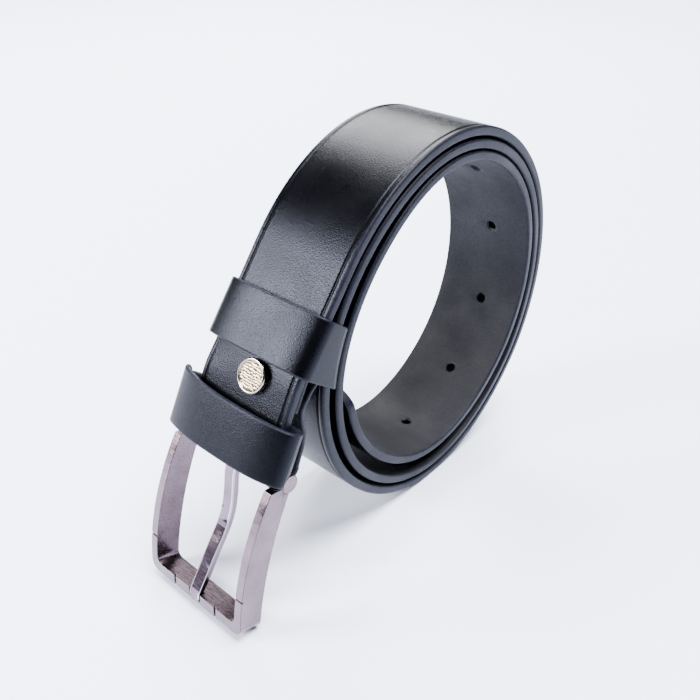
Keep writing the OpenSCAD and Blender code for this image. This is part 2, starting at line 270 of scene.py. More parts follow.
@dataclass(frozen=True)
class GrainLeather:
    """Smooth calf with a fine pebble and a cool gloss."""

    name: str = "fine grain calf"
    valley: tuple[float, float, float] = (0.0002, 0.00022, 0.0004)
    hill: tuple[float, float, float] = (0.0007, 0.00075, 0.0013)
    gloss_tint: tuple[float, float, float, float] = (0.7, 0.75, 1.0, 1.0)
    pebble: float = 2600.0
    pore: float = 5200.0
    roughness: tuple[float, float] = (0.26, 0.34)

    def material(self) -> bpy.types.Material:
        """Builds the leather's face."""
        s = Shader(self.name)
        pebble, pore, cloud = s.cells(self.pebble), s.noise(self.pore, 3), s.noise(70, 3)
        s.paint(s.ramp(pebble, [(0.1, self.hill), (0.75, self.valley)]))
        s.link(s.spread(cloud, *self.roughness), s.surface.inputs["Roughness"])
        s.set(Specular_IOR_Level=0.13, Specular_Tint=self.gloss_tint)
        s.bump((pore, 0.00003, 0.35), (pebble, 0.00008, 0.55), (cloud, 0.0004, 0.1))
        return s.material


@dataclass(frozen=True)
class CutLeather:
    """Leather seen at a cut edge or on the flesh side."""

    name: str
    deep: tuple[float, float, float]
    high: tuple[float, float, float]
    roughness: tuple[float, float]
    fibre: float
    depth: float
    specular: float

    def material(self) -> bpy.types.Material:
        """Builds the leather's fibres."""
        s = Shader(self.name)
        along = s.noise(self.fibre, 6, Vector((1.0, 0.45, 1.0)))
        nap, cloud = s.noise(self.fibre * 3.1, 4), s.noise(55, 2)
        s.paint(s.ramp(along, [(0.28, self.deep), (0.72, self.high)]))
        s.link(s.spread(cloud, *self.roughness), s.surface.inputs["Roughness"])
        s.set(Specular_IOR_Level=self.specular)
        s.bump((nap, self.depth * 0.5, 0.5), (along, self.depth, 0.6))
        return s.material


@dataclass(frozen=True)
class Plating:
    """Plated metal: satin where it was brushed, smoother where it was polished; a brighter
    plating on an eased edge is a painted highlight, a darker one a painted dark reflection.
    """

    name: str
    colour: tuple[float, float, float]
    shade: tuple[float, float, float]
    roughness: tuple[float, float]
    brushed: float = 0.3

    def material(self) -> bpy.types.Material:
        """Builds the metal."""
        s = Shader(self.name)
        cloud, scratch = s.noise(160, 3), s.noise(2600, 3, Vector((1.0, 0.12, 1.0)))
        s.paint(s.ramp(cloud, [(0.3, self.shade), (0.7, self.colour)]))
        s.link(s.spread(scratch, *self.roughness), s.surface.inputs["Roughness"])
        s.set(Metallic=1.0)
        s.bump((scratch, 0.000012, self.brushed), (cloud, 0.00008, 0.08))
        return s.material


@dataclass(frozen=True)
class AntiqueFace:
    """The hammered pale-gold face of the ornamental screw, darkened in its hollows."""

    name: str = "antique gold face"
    hollow: tuple[float, float, float] = (0.03, 0.021, 0.014)
    ridge: tuple[float, float, float] = (0.42, 0.32, 0.22)
    line_pitch: float = 0.00075

    def material(self) -> bpy.types.Material:
        """Builds the face."""
        s = Shader(self.name)
        wave, grit = s.node("ShaderNodeTexWave", bands_direction="Z"), s.noise(3400, 4)
        wave.inputs["Scale"].default_value = math.tau / (20 * self.line_pitch)
        wave.inputs["Distortion"].default_value = 5.0
        wave.inputs["Detail Scale"].default_value = 2.0
        s.link(s.place, wave.inputs["Vector"])
        ripple = wave.outputs["Fac"]
        s.paint(s.ramp(ripple, [(0.38, self.hollow), (0.62, self.ridge)]))
        s.link(s.spread(grit, 0.2, 0.42), s.surface.inputs["Roughness"])
        s.set(Metallic=1.0)
        s.bump((grit, 0.00003, 0.4), (ripple, 0.00012, 0.6))
        return s.material


@dataclass(frozen=True)
class PaperFloor:
    """The pale seamless paper that the belt stands on."""

    name: str = "seamless paper"
    colour: tuple[float, float, float] = (0.76, 0.81, 0.96)

    def material(self) -> bpy.types.Material:
        """Builds the paper."""
        s = Shader(self.name)
        tooth = s.noise(900, 4)
        low = tuple(0.985 * c for c in self.colour)
        s.paint(s.ramp(tooth, [(0.3, low), (0.7, self.colour)]))
        s.set(Roughness=0.75, Specular_IOR_Level=0.2)
        s.bump((tooth, 0.00002, 0.2))
        return s.material


CUT_EDGE = CutLeather("burnished slate edge", (0.003, 0.0035, 0.007), (0.010, 0.011, 0.020),
                      (0.36, 0.5), 1500.0, 0.00012, 0.1)
FLESH_SIDE = CutLeather("fine flesh side", (0.0016, 0.0018, 0.0032), (0.0052, 0.0057, 0.0095),
                        (0.6, 0.8), 1900.0, 0.00022, 0.2)
SATIN = Plating("satin gunmetal", (0.165, 0.122, 0.142), (0.125, 0.09, 0.108), (0.22, 0.32))
# Painted highlight: the low roughness is the polish, the brighter colour on the prong's eased edges
# is painted light.
PAINTED_HIGHLIGHT_EDGE = Plating("polished rim, painted highlight", (0.46, 0.41, 0.46), (0.38, 0.33, 0.38), (0.08, 0.14), 0.1)
# Painted dark reflection: a darker metal on the frame's eased edges draws the dark outlines of
# polished edges.
PAINTED_DARK_EDGE_REFLECTION = Plating("painted dark rim reflection", (0.09, 0.07, 0.085), (0.06, 0.045, 0.055), (0.1, 0.18), 0.1)
PRONG_PLATE = Plating("prong plating", (0.18, 0.13, 0.17), (0.13, 0.095, 0.125), (0.12, 0.2), 0.15)
GOLD_RIM = Plating("old gold rim", (0.52, 0.45, 0.37), (0.40, 0.33, 0.26), (0.12, 0.2), 0.15)
WIRE = Plating("plain steel", (0.60, 0.61, 0.63), (0.50, 0.51, 0.53), (0.25, 0.38))


# ---- Making meshes ----


def smooth(a: float, b: float, c: float, d: float, t: float) -> float:
    """A smooth curve through four values in a row, for the stretch between the middle two."""
    return 0.5 * (2 * b + (c - a) * t + (2 * a - 5 * b + 4 * c - d) * t * t
                  + (3 * b - a - 3 * c + d) * t ** 3)


def lookup(x: float, table: Sequence[Flat]) -> float:
    """Reads a table of places and values, with an eased step between two places.

    Args:
        x: The place.
        table: Places in rising order, each with its value.

    Returns:
        The value at that place, held constant outside the table.
    """
    if x <= table[0][0]:
        return table[0][1]
    for (x0, v0), (x1, v1) in zip(table, table[1:]):
        if x <= x1:
            t = (x - x0) / (x1 - x0)
            return v0 + (v1 - v0) * t * t * (3 - 2 * t)
    return table[-1][1]


def lookup_straight(x: float, table: Sequence[Flat]) -> float:
    """Reads a table of places and values along straight lines."""
    for (x0, v0), (x1, v1) in zip(table, table[1:]):
        if x <= x1:
            return v0 + (v1 - v0) * (x - x0) / (x1 - x0)
    return table[-1][1]


def add_object(name: str, data: bpy.types.ID) -> bpy.types.Object:
    """Adds an object with that data to the scene."""
    made = bpy.data.objects.new(name, data)
    bpy.context.scene.collection.objects.link(made)
    return made


def leathers() -> list[bpy.types.Material]:
    """Materials of the grain side, the cut edge and the flesh side, in that order."""
    return [finish.material() for finish in (GrainLeather(), CUT_EDGE, FLESH_SIDE)]


def make_object(
    name: str,
    points: Sequence[Vector],
    faces: Sequence[Sequence[int]],
    sides: Sequence[int],
    materials: Sequence[bpy.types.Material],
) -> bpy.types.Object:
    """Makes a smooth-shaded object from points in millimetres.

    Args:
        name: The piece's name.
        points: Its points.
        faces: Its faces, as numbers of points.
        sides: The material number of each face.
        materials: Its materials.

    Returns:
        The object, linked to the scene.
    """
    mesh = bpy.data.meshes.new(name)
    mesh.from_pydata([Vector(p) * MM for p in points], [], [tuple(f) for f in faces])
    for material in materials:
        mesh.materials.append(material)
    for polygon, side in zip(mesh.polygons, sides):
        polygon.material_index = side
        polygon.use_smooth = True
    work = bmesh.new()
    work.from_mesh(mesh)
    bmesh.ops.recalc_face_normals(work, faces=work.faces)
    work.to_mesh(mesh)
    work.free()
    return add_object(name, mesh)


def settle_shading(piece: bpy.types.Object) -> None:
    """Lets the broad faces of a piece set its shading, so that they read as flat."""
    normals = piece.modifiers.new("even shading", "WEIGHTED_NORMAL")
    normals.weight = 60


def skin_rings(
    name: str,
    rings: Sequence[Sequence[Vector]],
    ring_sides: Sequence[int],
    materials: Sequence[bpy.types.Material],
    closed: bool = False,
) -> bpy.types.Object:
    """Skins a row of rings that all have the same number of points.

    Args:
        name: The piece's name.
        rings: The rings, in millimetres.
        ring_sides: The material number of each step round a ring.
        materials: The piece's materials.
        closed: Whether the last ring meets the first; if not, both ends are capped.

    Returns:
        The object.
    """
    count = len(rings[0])
    points = [p for ring in rings for p in ring]
    faces: list[Sequence[int]] = []
    sides: list[int] = []
    for i in range(len(rings) if closed else len(rings) - 1):
        here, after = i * count, (i + 1) % len(rings) * count
        for k in range(count):
            m = (k + 1) % count
            faces.append((here + k, here + m, after + m, after + k))
            sides.append(ring_sides[k])
    if not closed:
        faces += [range(count), range((len(rings) - 1) * count, len(rings) * count)]
        sides += [Side.EDGE, Side.EDGE]
    return make_object(name, points, faces, sides, materials)


def cut_out(piece: bpy.types.Object, cutters: Sequence[bpy.types.Object]) -> None:
    """Cuts shapes out of a piece for good, and takes the shapes away.

    Args:
        piece: The piece to cut.
        cutters: What is cut out of it; their walls take the cut-edge material.
    """
    for cutter in cutters:
        tool = piece.modifiers.new("cut", "BOOLEAN")
        tool.operation, tool.solver, tool.object = "DIFFERENCE", "EXACT", cutter
    graph = bpy.context.evaluated_depsgraph_get()
    mesh = bpy.data.meshes.new_from_object(piece.evaluated_get(graph))
    piece.modifiers.clear()
    piece.data = mesh
    for cutter in cutters:
        bpy.data.objects.remove(cutter)


def ease_edges(
    piece: bpy.types.Object, width: float, line: int = -1, angle: float = 32.0, clamp: bool = True
) -> None:
    """Eases the sharp edges of an engineering solid.

    Args:
        piece: The solid.
        width: Width of the eased edge.
        line: Material number of the eased edge, or -1 to keep the faces' own.
        angle: Only edges sharper than this, in degrees, are eased.
        clamp: Whether the width gives way where two eased edges would meet.
    """
    weld = piece.modifiers.new("weld", "WELD")
    weld.merge_threshold = 0.004 * MM
    bevel = piece.modifiers.new("eased edge", "BEVEL")
    bevel.width, bevel.segments = width * MM, 2
    bevel.limit_method, bevel.angle_limit = "ANGLE", math.radians(angle)
    bevel.material = line
    bevel.harden_normals = True
    bevel.use_clamp_overlap = clamp


def plate(piece: bpy.types.Object, *finishes: Plating) -> None:
    """Gives an engineering solid its platings, in the order of their material numbers."""
    piece.data.materials.clear()
    for finish in finishes:
        piece.data.materials.append(finish.material())


@dataclass
class LeatherStrip:
    """The rounded section of a strip of leather, from its face to its flesh side."""

    width: float
    corner: float = 0.75
    crease_in: float = 2.1
    crease_w: float = 0.45
    crease_depth: float = 0.22
    support: float = 0.2
    corner_steps: int = 3

    def section(self, thickness: float) -> tuple[list[Flat], list[int]]:
        """Makes the closed section.

        Args:
            thickness: The leather's thickness there.

        Returns:
            Points as (across, depth), and the material number of each step from one to the next.
        """
        half, r = self.width / 2, min(self.corner, 0.4 * thickness)
        face: list[Flat] = []
        for side in (-1, 1):
            groove = [(half - self.crease_in + self.crease_w * k, self.crease_depth * d)
                      for k, d in ((1.7, 0), (1, 0), (0.3, 1), (-0.3, 1), (-1, 0), (-1.7, 0))
                      ] if self.crease_depth else []
            row = [(half - r, 0.0), (half - r - self.support, 0.0), *groove,
                   (half * 0.66, 0.0), (half * 0.33, 0.0)]
            row = row if side < 0 else row[::-1]
            face += [(side * y, d) for y, d in row]
            if side < 0:
                face.append((0.0, 0.0))
        right = [(half - r + r * math.sin(a), r - r * math.cos(a)) for a in self._turn()]
        right += [(half - r + r * math.cos(a), thickness - r + r * math.sin(a))
                  for a in self._turn(0)]
        flesh = [(half * k, thickness) for k in (0.62, 0.3, 0.0, -0.3, -0.62)]
        left = [(-y, d) for y, d in right[::-1]]
        points = face + right + flesh + left
        sides = ([Side.GRAIN] * (len(face) - 1) + [Side.EDGE] * (len(right))
                 + [Side.FLESH] * (len(flesh) + 1) + [Side.EDGE] * (len(left)))
        return points, sides

    def _turn(self, first: int = 1) -> list[float]:
        """Angles of the points round one corner."""
        steps = self.corner_steps
        return [math.radians(90) * k / steps for k in range(first, steps + 1)]


# ---- The way the strap runs ----


@dataclass
class BeltRoute:
    """The strap's outer face, seen from the side: three turns, the strap end, the fold, the leaf.

    It repeats the engineering model's own formulas, and takes its place from that model.
    """

    strap_t: float = 3.0
    fold_t: float = 1.8
    coil_r: float = 64.0
    lift_off: float = 127.0
    tail_angle: float = 1168.0
    end_slope: float = 27.0
    front_run: float = 24.0
    bend_run: float = 12.0
    bar_depth: float = 7.0
    fold_r: float = 6.4
    fold_up: float = 2.77
    skive: Flat = (14.0, 5.0)
    out_of_round: tuple[float, ...] = (0, 1, -1, -2.8, -1.6, 0.5, -2.2, -3.2)
    outer_air: tuple[float, ...] = (1.4, 1, 0.6, 0.5, 0.6, 0.9, 1.4, 2.9)
    inner_air: tuple[float, ...] = (2.6, 0.7, 0.8, 1.6, 3.2, 4.2, 4.2, 1.8)
    leaf: tuple[Flat, ...] = ((13.4, 2.8), (13.6, 8.5), (12.8, 14), (10.8, 18.4), (9.4, 21.2),
                              (9.4, 25.2), (9.4, 29.2), (9.2, 34.5))
    station_start: float = 135.0
    station_step: float = 45.0
    bend_steps: int = 12
    run_steps: int = 8
    fold_steps: int = 28
    shift: Flat = field(init=False)
    bar_at: Flat = field(init=False)

    def __post_init__(self) -> None:
        """Takes the route's place from the strap and the bar of the engineering model."""
        low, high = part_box("strap")
        self.shift = (high.x / MM - self.coil_radius(270), low.z / MM + self.coil_radius(360))
        low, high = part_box("buckle_bar")
        self.bar_at = ((low.x + high.x) / 2 / MM, (low.z + high.z) / 2 / MM)

    def station(self, i: int) -> float:
        """Radius of the outer face at a station, counted through all the turns."""
        turn, k = divmod(min(max(i, 0), 23), 8)
        air = (self.outer_air[k] if turn > 0 else 0) + (self.inner_air[k] if turn > 1 else 0)
        return self.coil_r + self.out_of_round[k] - turn * self.strap_t - air

    def coil_radius(self, angle: float) -> float:
        """Radius of the outer face at an angle from straight down."""
        at = (angle - self.station_start) / self.station_step
        i = math.floor(at)
        return smooth(*(self.station(i + k) for k in (-1, 0, 1, 2)), at - i)

    def on_coil(self, angle: float, depth: float = 0.0) -> Flat:
        """A place in the coil, from the side."""
        r, a = self.coil_radius(angle) - depth, math.radians(angle)
        return (self.shift[0] - r * math.sin(a), self.shift[1] - r * math.cos(a))

    @property
    def lift_slope(self) -> float:
        """Slope of the strap where it leaves the coil, from upright."""
        return self.lift_off - 90

    @staticmethod
    def down(slope: float) -> Flat:
        """Direction down a stretch with that slope."""
        return (-math.sin(math.radians(slope)), -math.cos(math.radians(slope)))

    @staticmethod
    def back(slope: float) -> Flat:
        """Direction into the leather of a stretch with that slope."""
        return (math.cos(math.radians(slope)), -math.sin(math.radians(slope)))

    def on_end(self, depth: float, up: float) -> Flat:
        """A place on the strap end.

        Args:
            depth: Distance behind the front face.
            up: Distance up the strap from the bar.

        Returns:
            The place, from the side.
        """
        down, back = self.down(self.end_slope), self.back(self.end_slope)
        behind = depth - self.bar_depth
        return tuple(self.bar_at[k] + back[k] * behind - down[k] * up for k in (0, 1))

    def bend(self) -> list[Flat]:
        """Points of the bend between the two flat runs, from its top to its foot."""
        steps = self.bend_steps
        row = [self.on_end(0, self.front_run)]
        for n in range(steps):
            slope = self.end_slope + (self.lift_slope - self.end_slope) * (n + 0.5) / steps
            down = self.down(slope)
            row.append(tuple(row[-1][k] - down[k] * self.bend_run / steps for k in (0, 1)))
        return row[::-1]

    def leaf_curve(self, steps: int = 6) -> list[Flat]:
        """Depths and heights of the folded-back leaf's outer face."""
        row: list[Flat] = []
        last = len(self.leaf) - 1
        for i in range(last):
            ends = [self.leaf[min(max(i + k, 0), last)] for k in (-1, 0, 1, 2)]
            row += [tuple(smooth(*(e[axis] for e in ends), k / steps) for axis in (0, 1))
                    for k in range(steps)]
        return row + [self.leaf[last]]

    def line(self) -> list[tuple[float, float, float, float]]:
        """The whole route from the tail to the end of the leaf.

        Returns:
            Rows of x, z, the leather's thickness, and the height up the strap end, which is
            nan in the coil and is counted on beyond the bar for the leaf.
        """
        nan = math.nan
        steps = int(self.tail_angle - self.lift_off)
        sweep = self.lift_off - self.tail_angle
        angles = [self.tail_angle + sweep * k / steps for k in range(steps)]
        rows = [(*self.on_coil(a), self.strap_t, nan) for a in angles]
        top, bend = self.on_coil(self.lift_off), self.bend()
        total = math.dist(top, bend[0])
        for k in range(self.run_steps):
            share = k / self.run_steps
            x, z = (top[i] + (bend[0][i] - top[i]) * share for i in (0, 1))
            rows.append((x, z, self.strap_t,
                         self.front_run + self.bend_run + total * (1 - share)))
        rows += [(*p, self.strap_t, self.front_run + self.bend_run * (1 - k / self.bend_steps))
                 for k, p in enumerate(bend)]
        start, stop = self.skive
        rows += [(*self.on_end(0, up), self.strap_t, up) for up in (22, 20, 18, 16)]
        for k in range(self.run_steps + 1):
            share = k / self.run_steps
            up = start + (stop - start) * share
            rows.append((*self.on_end((self.bar_depth - self.fold_r) * share ** 2, up),
                         self.strap_t + (self.fold_t - self.strap_t) * share, up))
        for k in range(self.fold_steps + 1):
            a = math.radians(180 * k / self.fold_steps)
            rows.append((*self.on_end(self.bar_depth - self.fold_r * math.cos(a),
                                      self.fold_up - self.fold_r * math.sin(a)), self.fold_t, nan))
        rows += [(*self.on_end(*p), self.fold_t, -p[1]) for p in self.leaf_curve()[1:]]
        return rows


@dataclass
class Strap:
    """The long strap, with its rounded tail, its holes, and its end folded round the bar."""

    route: BeltRoute
    strip: LeatherStrip
    tail_nose: float = 8.0
    coil_spacing: float = 2.0
    end_spacing: float = 0.9
    end_length: float = 150.0
    hole_r: float = 2.0
    hole_pitch: float = 31.0
    hole_count: int = 5
    tip_to_hole: float = 78.0
    punch_offset: float = 1.5
    dimple: float = 0.28
    dimple_spread: float = 1.6
    dimple_reach: float = 12.0
    slot_w: float = 6.2
    slot_reach: float = 9.0
    screw_at: float = 25.2
    screw_offset: float = 2.4
    passage_r: float = 2.48
    grip: float = 9.5
    leaf_flare: tuple[Flat, ...] = ((2.2, 0.4), (8.8, 1.0), (14.8, 1.5), (18.4, 2.2), (21.2, 2.5),
                                    (25, 1.8), (29.8, 0.2))
    far_dip: tuple[Flat, ...] = ((20, 0), (30, 1.3), (40, 0))

    def dip(self, up: float, across: float) -> float:
        """How far the strap end's far edge leans in, at a height and a distance across."""
        return lookup(up, self.far_dip) * max(across * 2 / self.strip.width, 0) ** 2

    def lean(self, up: float, across: float) -> float:
        """Extra depth of a point of the strap end or of the leaf.

        Args:
            up: Height up the strap end; below zero, the height up the leaf.
            across: Distance from the strap's middle.

        Returns:
            The depth to add.
        """
        if math.isnan(up):
            return 0.0
        if up < 0:
            return lookup(-up, self.leaf_flare) * max(-across * 2 / self.strip.width, 0) ** 3
        return self.dip(up, across)

    def hole_angles(self) -> list[float]:
        """Angles of the punched holes, counted from the tail."""
        def turn(length: float, angle: float) -> float:
            """The angle that a length of strap takes up there."""
            return math.degrees(length / (self.route.coil_radius(angle) - self.route.strap_t / 2))

        row = [self.route.tail_angle - turn(self.tip_to_hole, self.route.tail_angle - 45)]
        while len(row) < self.hole_count:
            row.append(row[-1] - turn(self.hole_pitch, row[-1]))
        return row

    def stations(self) -> list[tuple[Flat, Flat, float, float, float]]:
        """Places of the rings.

        Returns:
            For each ring its outer point, the direction into the leather, the thickness, the
            height up the strap end, and the share of the full width.
        """
        rows = self.route.line()
        lengths = [0.0]
        for a, b in zip(rows, rows[1:]):
            lengths.append(lengths[-1] + math.dist(a[:2], b[:2]))
        end_from = lengths[-1] - self.end_length
        marks = [self.tail_nose * (1 - math.cos(math.radians(a))) for a in range(9, 90, 9)]
        while marks[-1] < lengths[-1] - self.end_spacing:
            spacing = self.coil_spacing if marks[-1] < end_from else self.end_spacing
            marks.append(marks[-1] + spacing)
        marks[-1] = lengths[-1] - 1e-6
        found, i = [], 0
        for mark in marks:
            while lengths[i + 1] < mark:
                i += 1
            t = (mark - lengths[i]) / (lengths[i + 1] - lengths[i])
            here = [a + (b - a) * t for a, b in zip(rows[i], rows[i + 1])]
            before, after = rows[max(i - 1, 0)], rows[min(i + 2, len(rows) - 1)]
            dx, dz = after[0] - before[0], after[1] - before[1]
            length = math.hypot(dx, dz)
            rest = max(1 - mark / self.tail_nose, 0)
            found.append(((here[0], here[1]), (-dz / length, dx / length), here[2], here[3],
                          math.sqrt(1 - rest * rest)))
        return found

    def sink(self, near: float, y: float) -> float:
        """How far the leather is pulled in beside a punched hole.

        Args:
            near: Distance along the strap to the nearest hole.
            y: Distance across, from the strap's middle.

        Returns:
            The depth of the dimple there.
        """
        if near >= self.dimple_reach:
            return 0.0
        away = math.hypot(near, y + self.punch_offset)
        return self.dimple * math.exp(-((away / (self.dimple_spread * self.hole_r)) ** 2))

    def build(self) -> bpy.types.Object:
        """Lofts the strap, and punches its holes, its slot and the screw's passage."""
        holes = [self.route.on_coil(a, self.route.strap_t / 2) for a in self.hole_angles()]
        rings = []
        for (x, z), inward, thickness, up, share in self.stations():
            section, sides = self.strip.section(thickness)
            near = min(math.dist((x, z), hole) for hole in holes)
            ring = []
            for across, depth in section:
                y = across * share
                sink = self.sink(near, y)
                deep = depth + self.lean(up, y) + (sink if depth < thickness / 2 else -sink)
                ring.append(Vector((x + inward[0] * deep, y, z + inward[1] * deep)))
            rings.append(ring)
        strap = skin_rings("strap_leather", rings, sides, leathers())
        cut_out(strap, [*self.hole_punches(), self.slot_blade(), self.passage()])
        settle_shading(strap)
        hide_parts("strap")
        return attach(strap, Body.BELT.value)

    def hole_punches(self) -> list[bpy.types.Object]:
        """The punches for the holes."""
        punches = []
        for angle in self.hole_angles():
            x, z = self.route.on_coil(angle, self.route.strap_t / 2)
            a = math.radians(angle)
            punches.append(punch((x, -self.punch_offset, z), (math.sin(a), 0, math.cos(a)),
                                 self.hole_r, self.route.strap_t + 2))
        return punches

    def passage(self) -> bpy.types.Object:
        """The drill for the screw's post."""
        x, z = self.route.on_end(self.grip / 2, self.screw_at)
        back = self.route.back(self.route.end_slope)
        return punch((x, -self.screw_offset, z), (back[0], 0, back[1]),
                     self.passage_r, self.grip + 6)

    def slot_blade(self) -> bpy.types.Object:
        """The blade for the prong's slot, with round ends."""
        half, steps = self.slot_w / 2, 8
        reach = self.slot_reach - half
        arc = [math.radians(180 * k / steps) for k in range(steps + 1)]
        outline = [(half * math.cos(a), reach + half * math.sin(a)) for a in arc]
        outline += [(-y, -up) for y, up in outline]
        rings = []
        for depth in (-4.0, self.route.bar_depth + self.route.fold_r + 4):
            ring = []
            for y, up in outline:
                x, z = self.route.on_end(depth, up)
                ring.append(Vector((x, y, z)))
            rings.append(ring)
        return skin_rings("slot blade", rings, [Side.EDGE] * len(outline), [])


def punch(
    middle: Sequence[float], axis: Sequence[float], radius: float, length: float
) -> bpy.types.Object:
    """A round punch.

    Args:
        middle: Its middle.
        axis: Its direction.
        radius: Its radius.
        length: Its length.

    Returns:
        The punch, to be cut out of a piece.
    """
    turn = Vector((0, 0, 1)).rotation_difference(Vector(axis)).to_matrix()
    steps = 40
    circle = [math.radians(360 * k / steps) for k in range(steps)]
    rings = [[Vector(middle) + turn @ Vector((radius * math.cos(a), radius * math.sin(a), h))
              for a in circle]
             for h in (-length / 2, length / 2)]
    return skin_rings("punch", rings, [Side.EDGE] * len(circle), [])


@dataclass
class BackingLeaf:
    """The short thin leather behind the strap's front, under the screw."""

    strap: Strap
    strip: LeatherStrip
    thickness: float = 1.8
    seat: float = 3.2
    low: float = 20.0
    high: float = 34.5
    top_lift: float = 1.0
    steps: int = 20

    def build(self) -> bpy.types.Object:
        """Lofts the leaf and drills it for the post."""
        section, sides = self.strip.section(self.thickness)
        route, rings = self.strap.route, []
        for k in range(self.steps + 1):
            share = k / self.steps
            up = self.low + (self.high - self.low) * share
            lift = self.top_lift * max((share - 0.5) * 2, 0) ** 2
            ring = []
            for y, depth in section:
                x, z = route.on_end(self.seat + lift + depth + self.strap.dip(up, y), up)
                ring.append(Vector((x, y, z)))
            rings.append(ring)
        leaf = skin_rings("backing_leather", rings, sides, leathers())
        cut_out(leaf, [self.strap.passage()])
        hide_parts("backing_leaf")
        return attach(leaf, Body.BELT.value)


@dataclass
class Keeper:
    """A flat leather loop round the strap."""

    name: str
    body: Body
    width: float
    half: float
    corner: float
    slope: float
    foot: Flat
    back_depth: Callable[[float], float]
    bow: float = 0.0
    thickness: float = 1.8
    air: float = 0.4
    relief: float = 0.0
    belly: float = 0.0
    far_rise: float = 0.0
    far_reach: float = 0.0
    staple_w: float = 8.0
    staple_up: float = 8.0
    round_over: float = 0.55
    flat_steps: int = 30
    corner_steps: int = 6

    def outline(self, up: float) -> list[tuple[Vector, Vector]]:
        """The inside of the loop at a height.

        Args:
            up: Height above the keeper's foot.

        Returns:
            Points as (depth, across), each with the direction out of the loop.
        """
        front, back, r = -self.air, self.back_depth(up), self.corner
        flat = self.half - r
        for _ in range(4):
            start = math.atan(4 * self.bow / flat)
            flat = self.half - r * (1 - math.sin(start))
        steps, turns = self.flat_steps, self.corner_steps
        row: list[tuple[Vector, Vector]] = []
        for k in range(steps + 1):
            share = 2 * k / steps - 1
            lean = 4 * self.bow * share ** 3 / flat
            row.append((Vector((front - self.bow * (1 - share ** 4), flat * share)),
                        Vector((-1, lean)).normalized()))
        middle = Vector((front + r * math.cos(start), flat - r * math.sin(start)))
        outward = [Vector((-math.cos(a), math.sin(a))) for k in range(1, turns + 1)
                   for a in [start + (math.pi / 2 - start) * k / turns]]
        near = [(middle + out * r, out) for out in outward]
        middle = Vector((back - r, self.half - r))
        outward = [Vector((math.sin(a), math.cos(a))) for k in range(turns + 1)
                   for a in [math.pi / 2 * k / turns]]
        near += [(middle + out * r, out) for out in outward]
        wall = [(Vector((back, (self.half - r) * (1 - 2 * k / steps))), Vector((1, 0)))
                for k in range(1, steps)]
        far = [(Vector((p.x, -p.y)), Vector((o.x, -o.y))) for p, o in near[::-1]]
        return row + near + wall + far

    def build(self) -> bpy.types.Object:
        """Skins the loop from its outline at each height."""
        r, t = self.round_over, self.thickness
        arc = [math.radians(90 * k / 3) for k in range(4)]
        # (share of the height, extra height, distance out), from the foot up the outside
        row = [(0.0, r * (1 - math.sin(a)), t - r + r * math.cos(a)) for a in arc[::-1]]
        row += [(k / 8, 0.0, t) for k in range(1, 8)]
        row += [(1.0, -r * (1 - math.sin(a)), t - r + r * math.cos(a)) for a in arc]
        row += [(1.0, 0.0, r), (1.0, -r, 0.0), (0.5, 0.0, 0.0), (0.0, r, 0.0), (0.0, 0.0, r)]
        sides = ([Side.EDGE] * 3 + [Side.GRAIN] * 8 + [Side.EDGE] * 5 + [Side.FLESH] * 2
                 + [Side.EDGE] * 2)
        rings: list[list[Vector]] = []
        outlines = [self.outline(self.width * share + more) for share, more, _ in row]
        turn = Matrix.Rotation(math.radians(self.slope), 3, "Y")
        foot = Vector((self.foot[0], 0, self.foot[1]))
        for i in range(len(outlines[0])):
            ring = []
            for (share, more, out), outline in zip(row, outlines):
                inside, away = outline[i]
                place = inside + away * out
                up = self.width * share + more + self.trim(place, share)
                reach = self.far_reach * max(place.y / self.half, 0) ** 3
                ring.append(foot + turn @ Vector((place.x, place.y + reach, up)))
            rings.append(ring)
        keeper = skin_rings(self.name + "_loop", rings, sides, leathers(), closed=True)
        cut_out(keeper, [self.staple_bed(turn, foot)])
        settle_shading(keeper)
        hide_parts(self.name)
        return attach(keeper, self.body.value)

    def trim(self, place: Vector, share: float) -> float:
        """How far the loop's edge stands above its plain place.

        Args:
            place: Depth and distance across.
            share: Share of the way up the band.

        Returns:
            The height to add.
        """
        across = place.y / self.half
        rise = 0.0
        if place.x > 1:
            rise += self.relief * (1 - share) * min(place.x - 1, 1.2) / 1.2
        else:
            rise -= self.belly * (1 - share) * max(1 - across * across, 0)
            rise += self.far_rise * share * max(across, 0) ** 2
        return rise

    def staple_bed(self, turn: Matrix, foot: Vector) -> bpy.types.Object:
        """The bed of the staple's crown, cut into the outside of the back wall."""
        depth = self.back_depth(self.staple_up) + self.thickness
        tilt = (self.back_depth(self.staple_up + 1) - self.back_depth(self.staple_up - 1)) / 2
        rings = []
        for y in (-self.staple_w / 2 - 0.1, self.staple_w / 2 + 0.1):
            rings.append([foot + turn @ Vector((depth + d + tilt * u, y, self.staple_up + u))
                          for d, u in ((-0.85, -0.42), (1.0, -0.42), (1.0, 0.42), (-0.85, 0.42))])
        return skin_rings("staple bed", rings, [Side.EDGE] * 4, [])


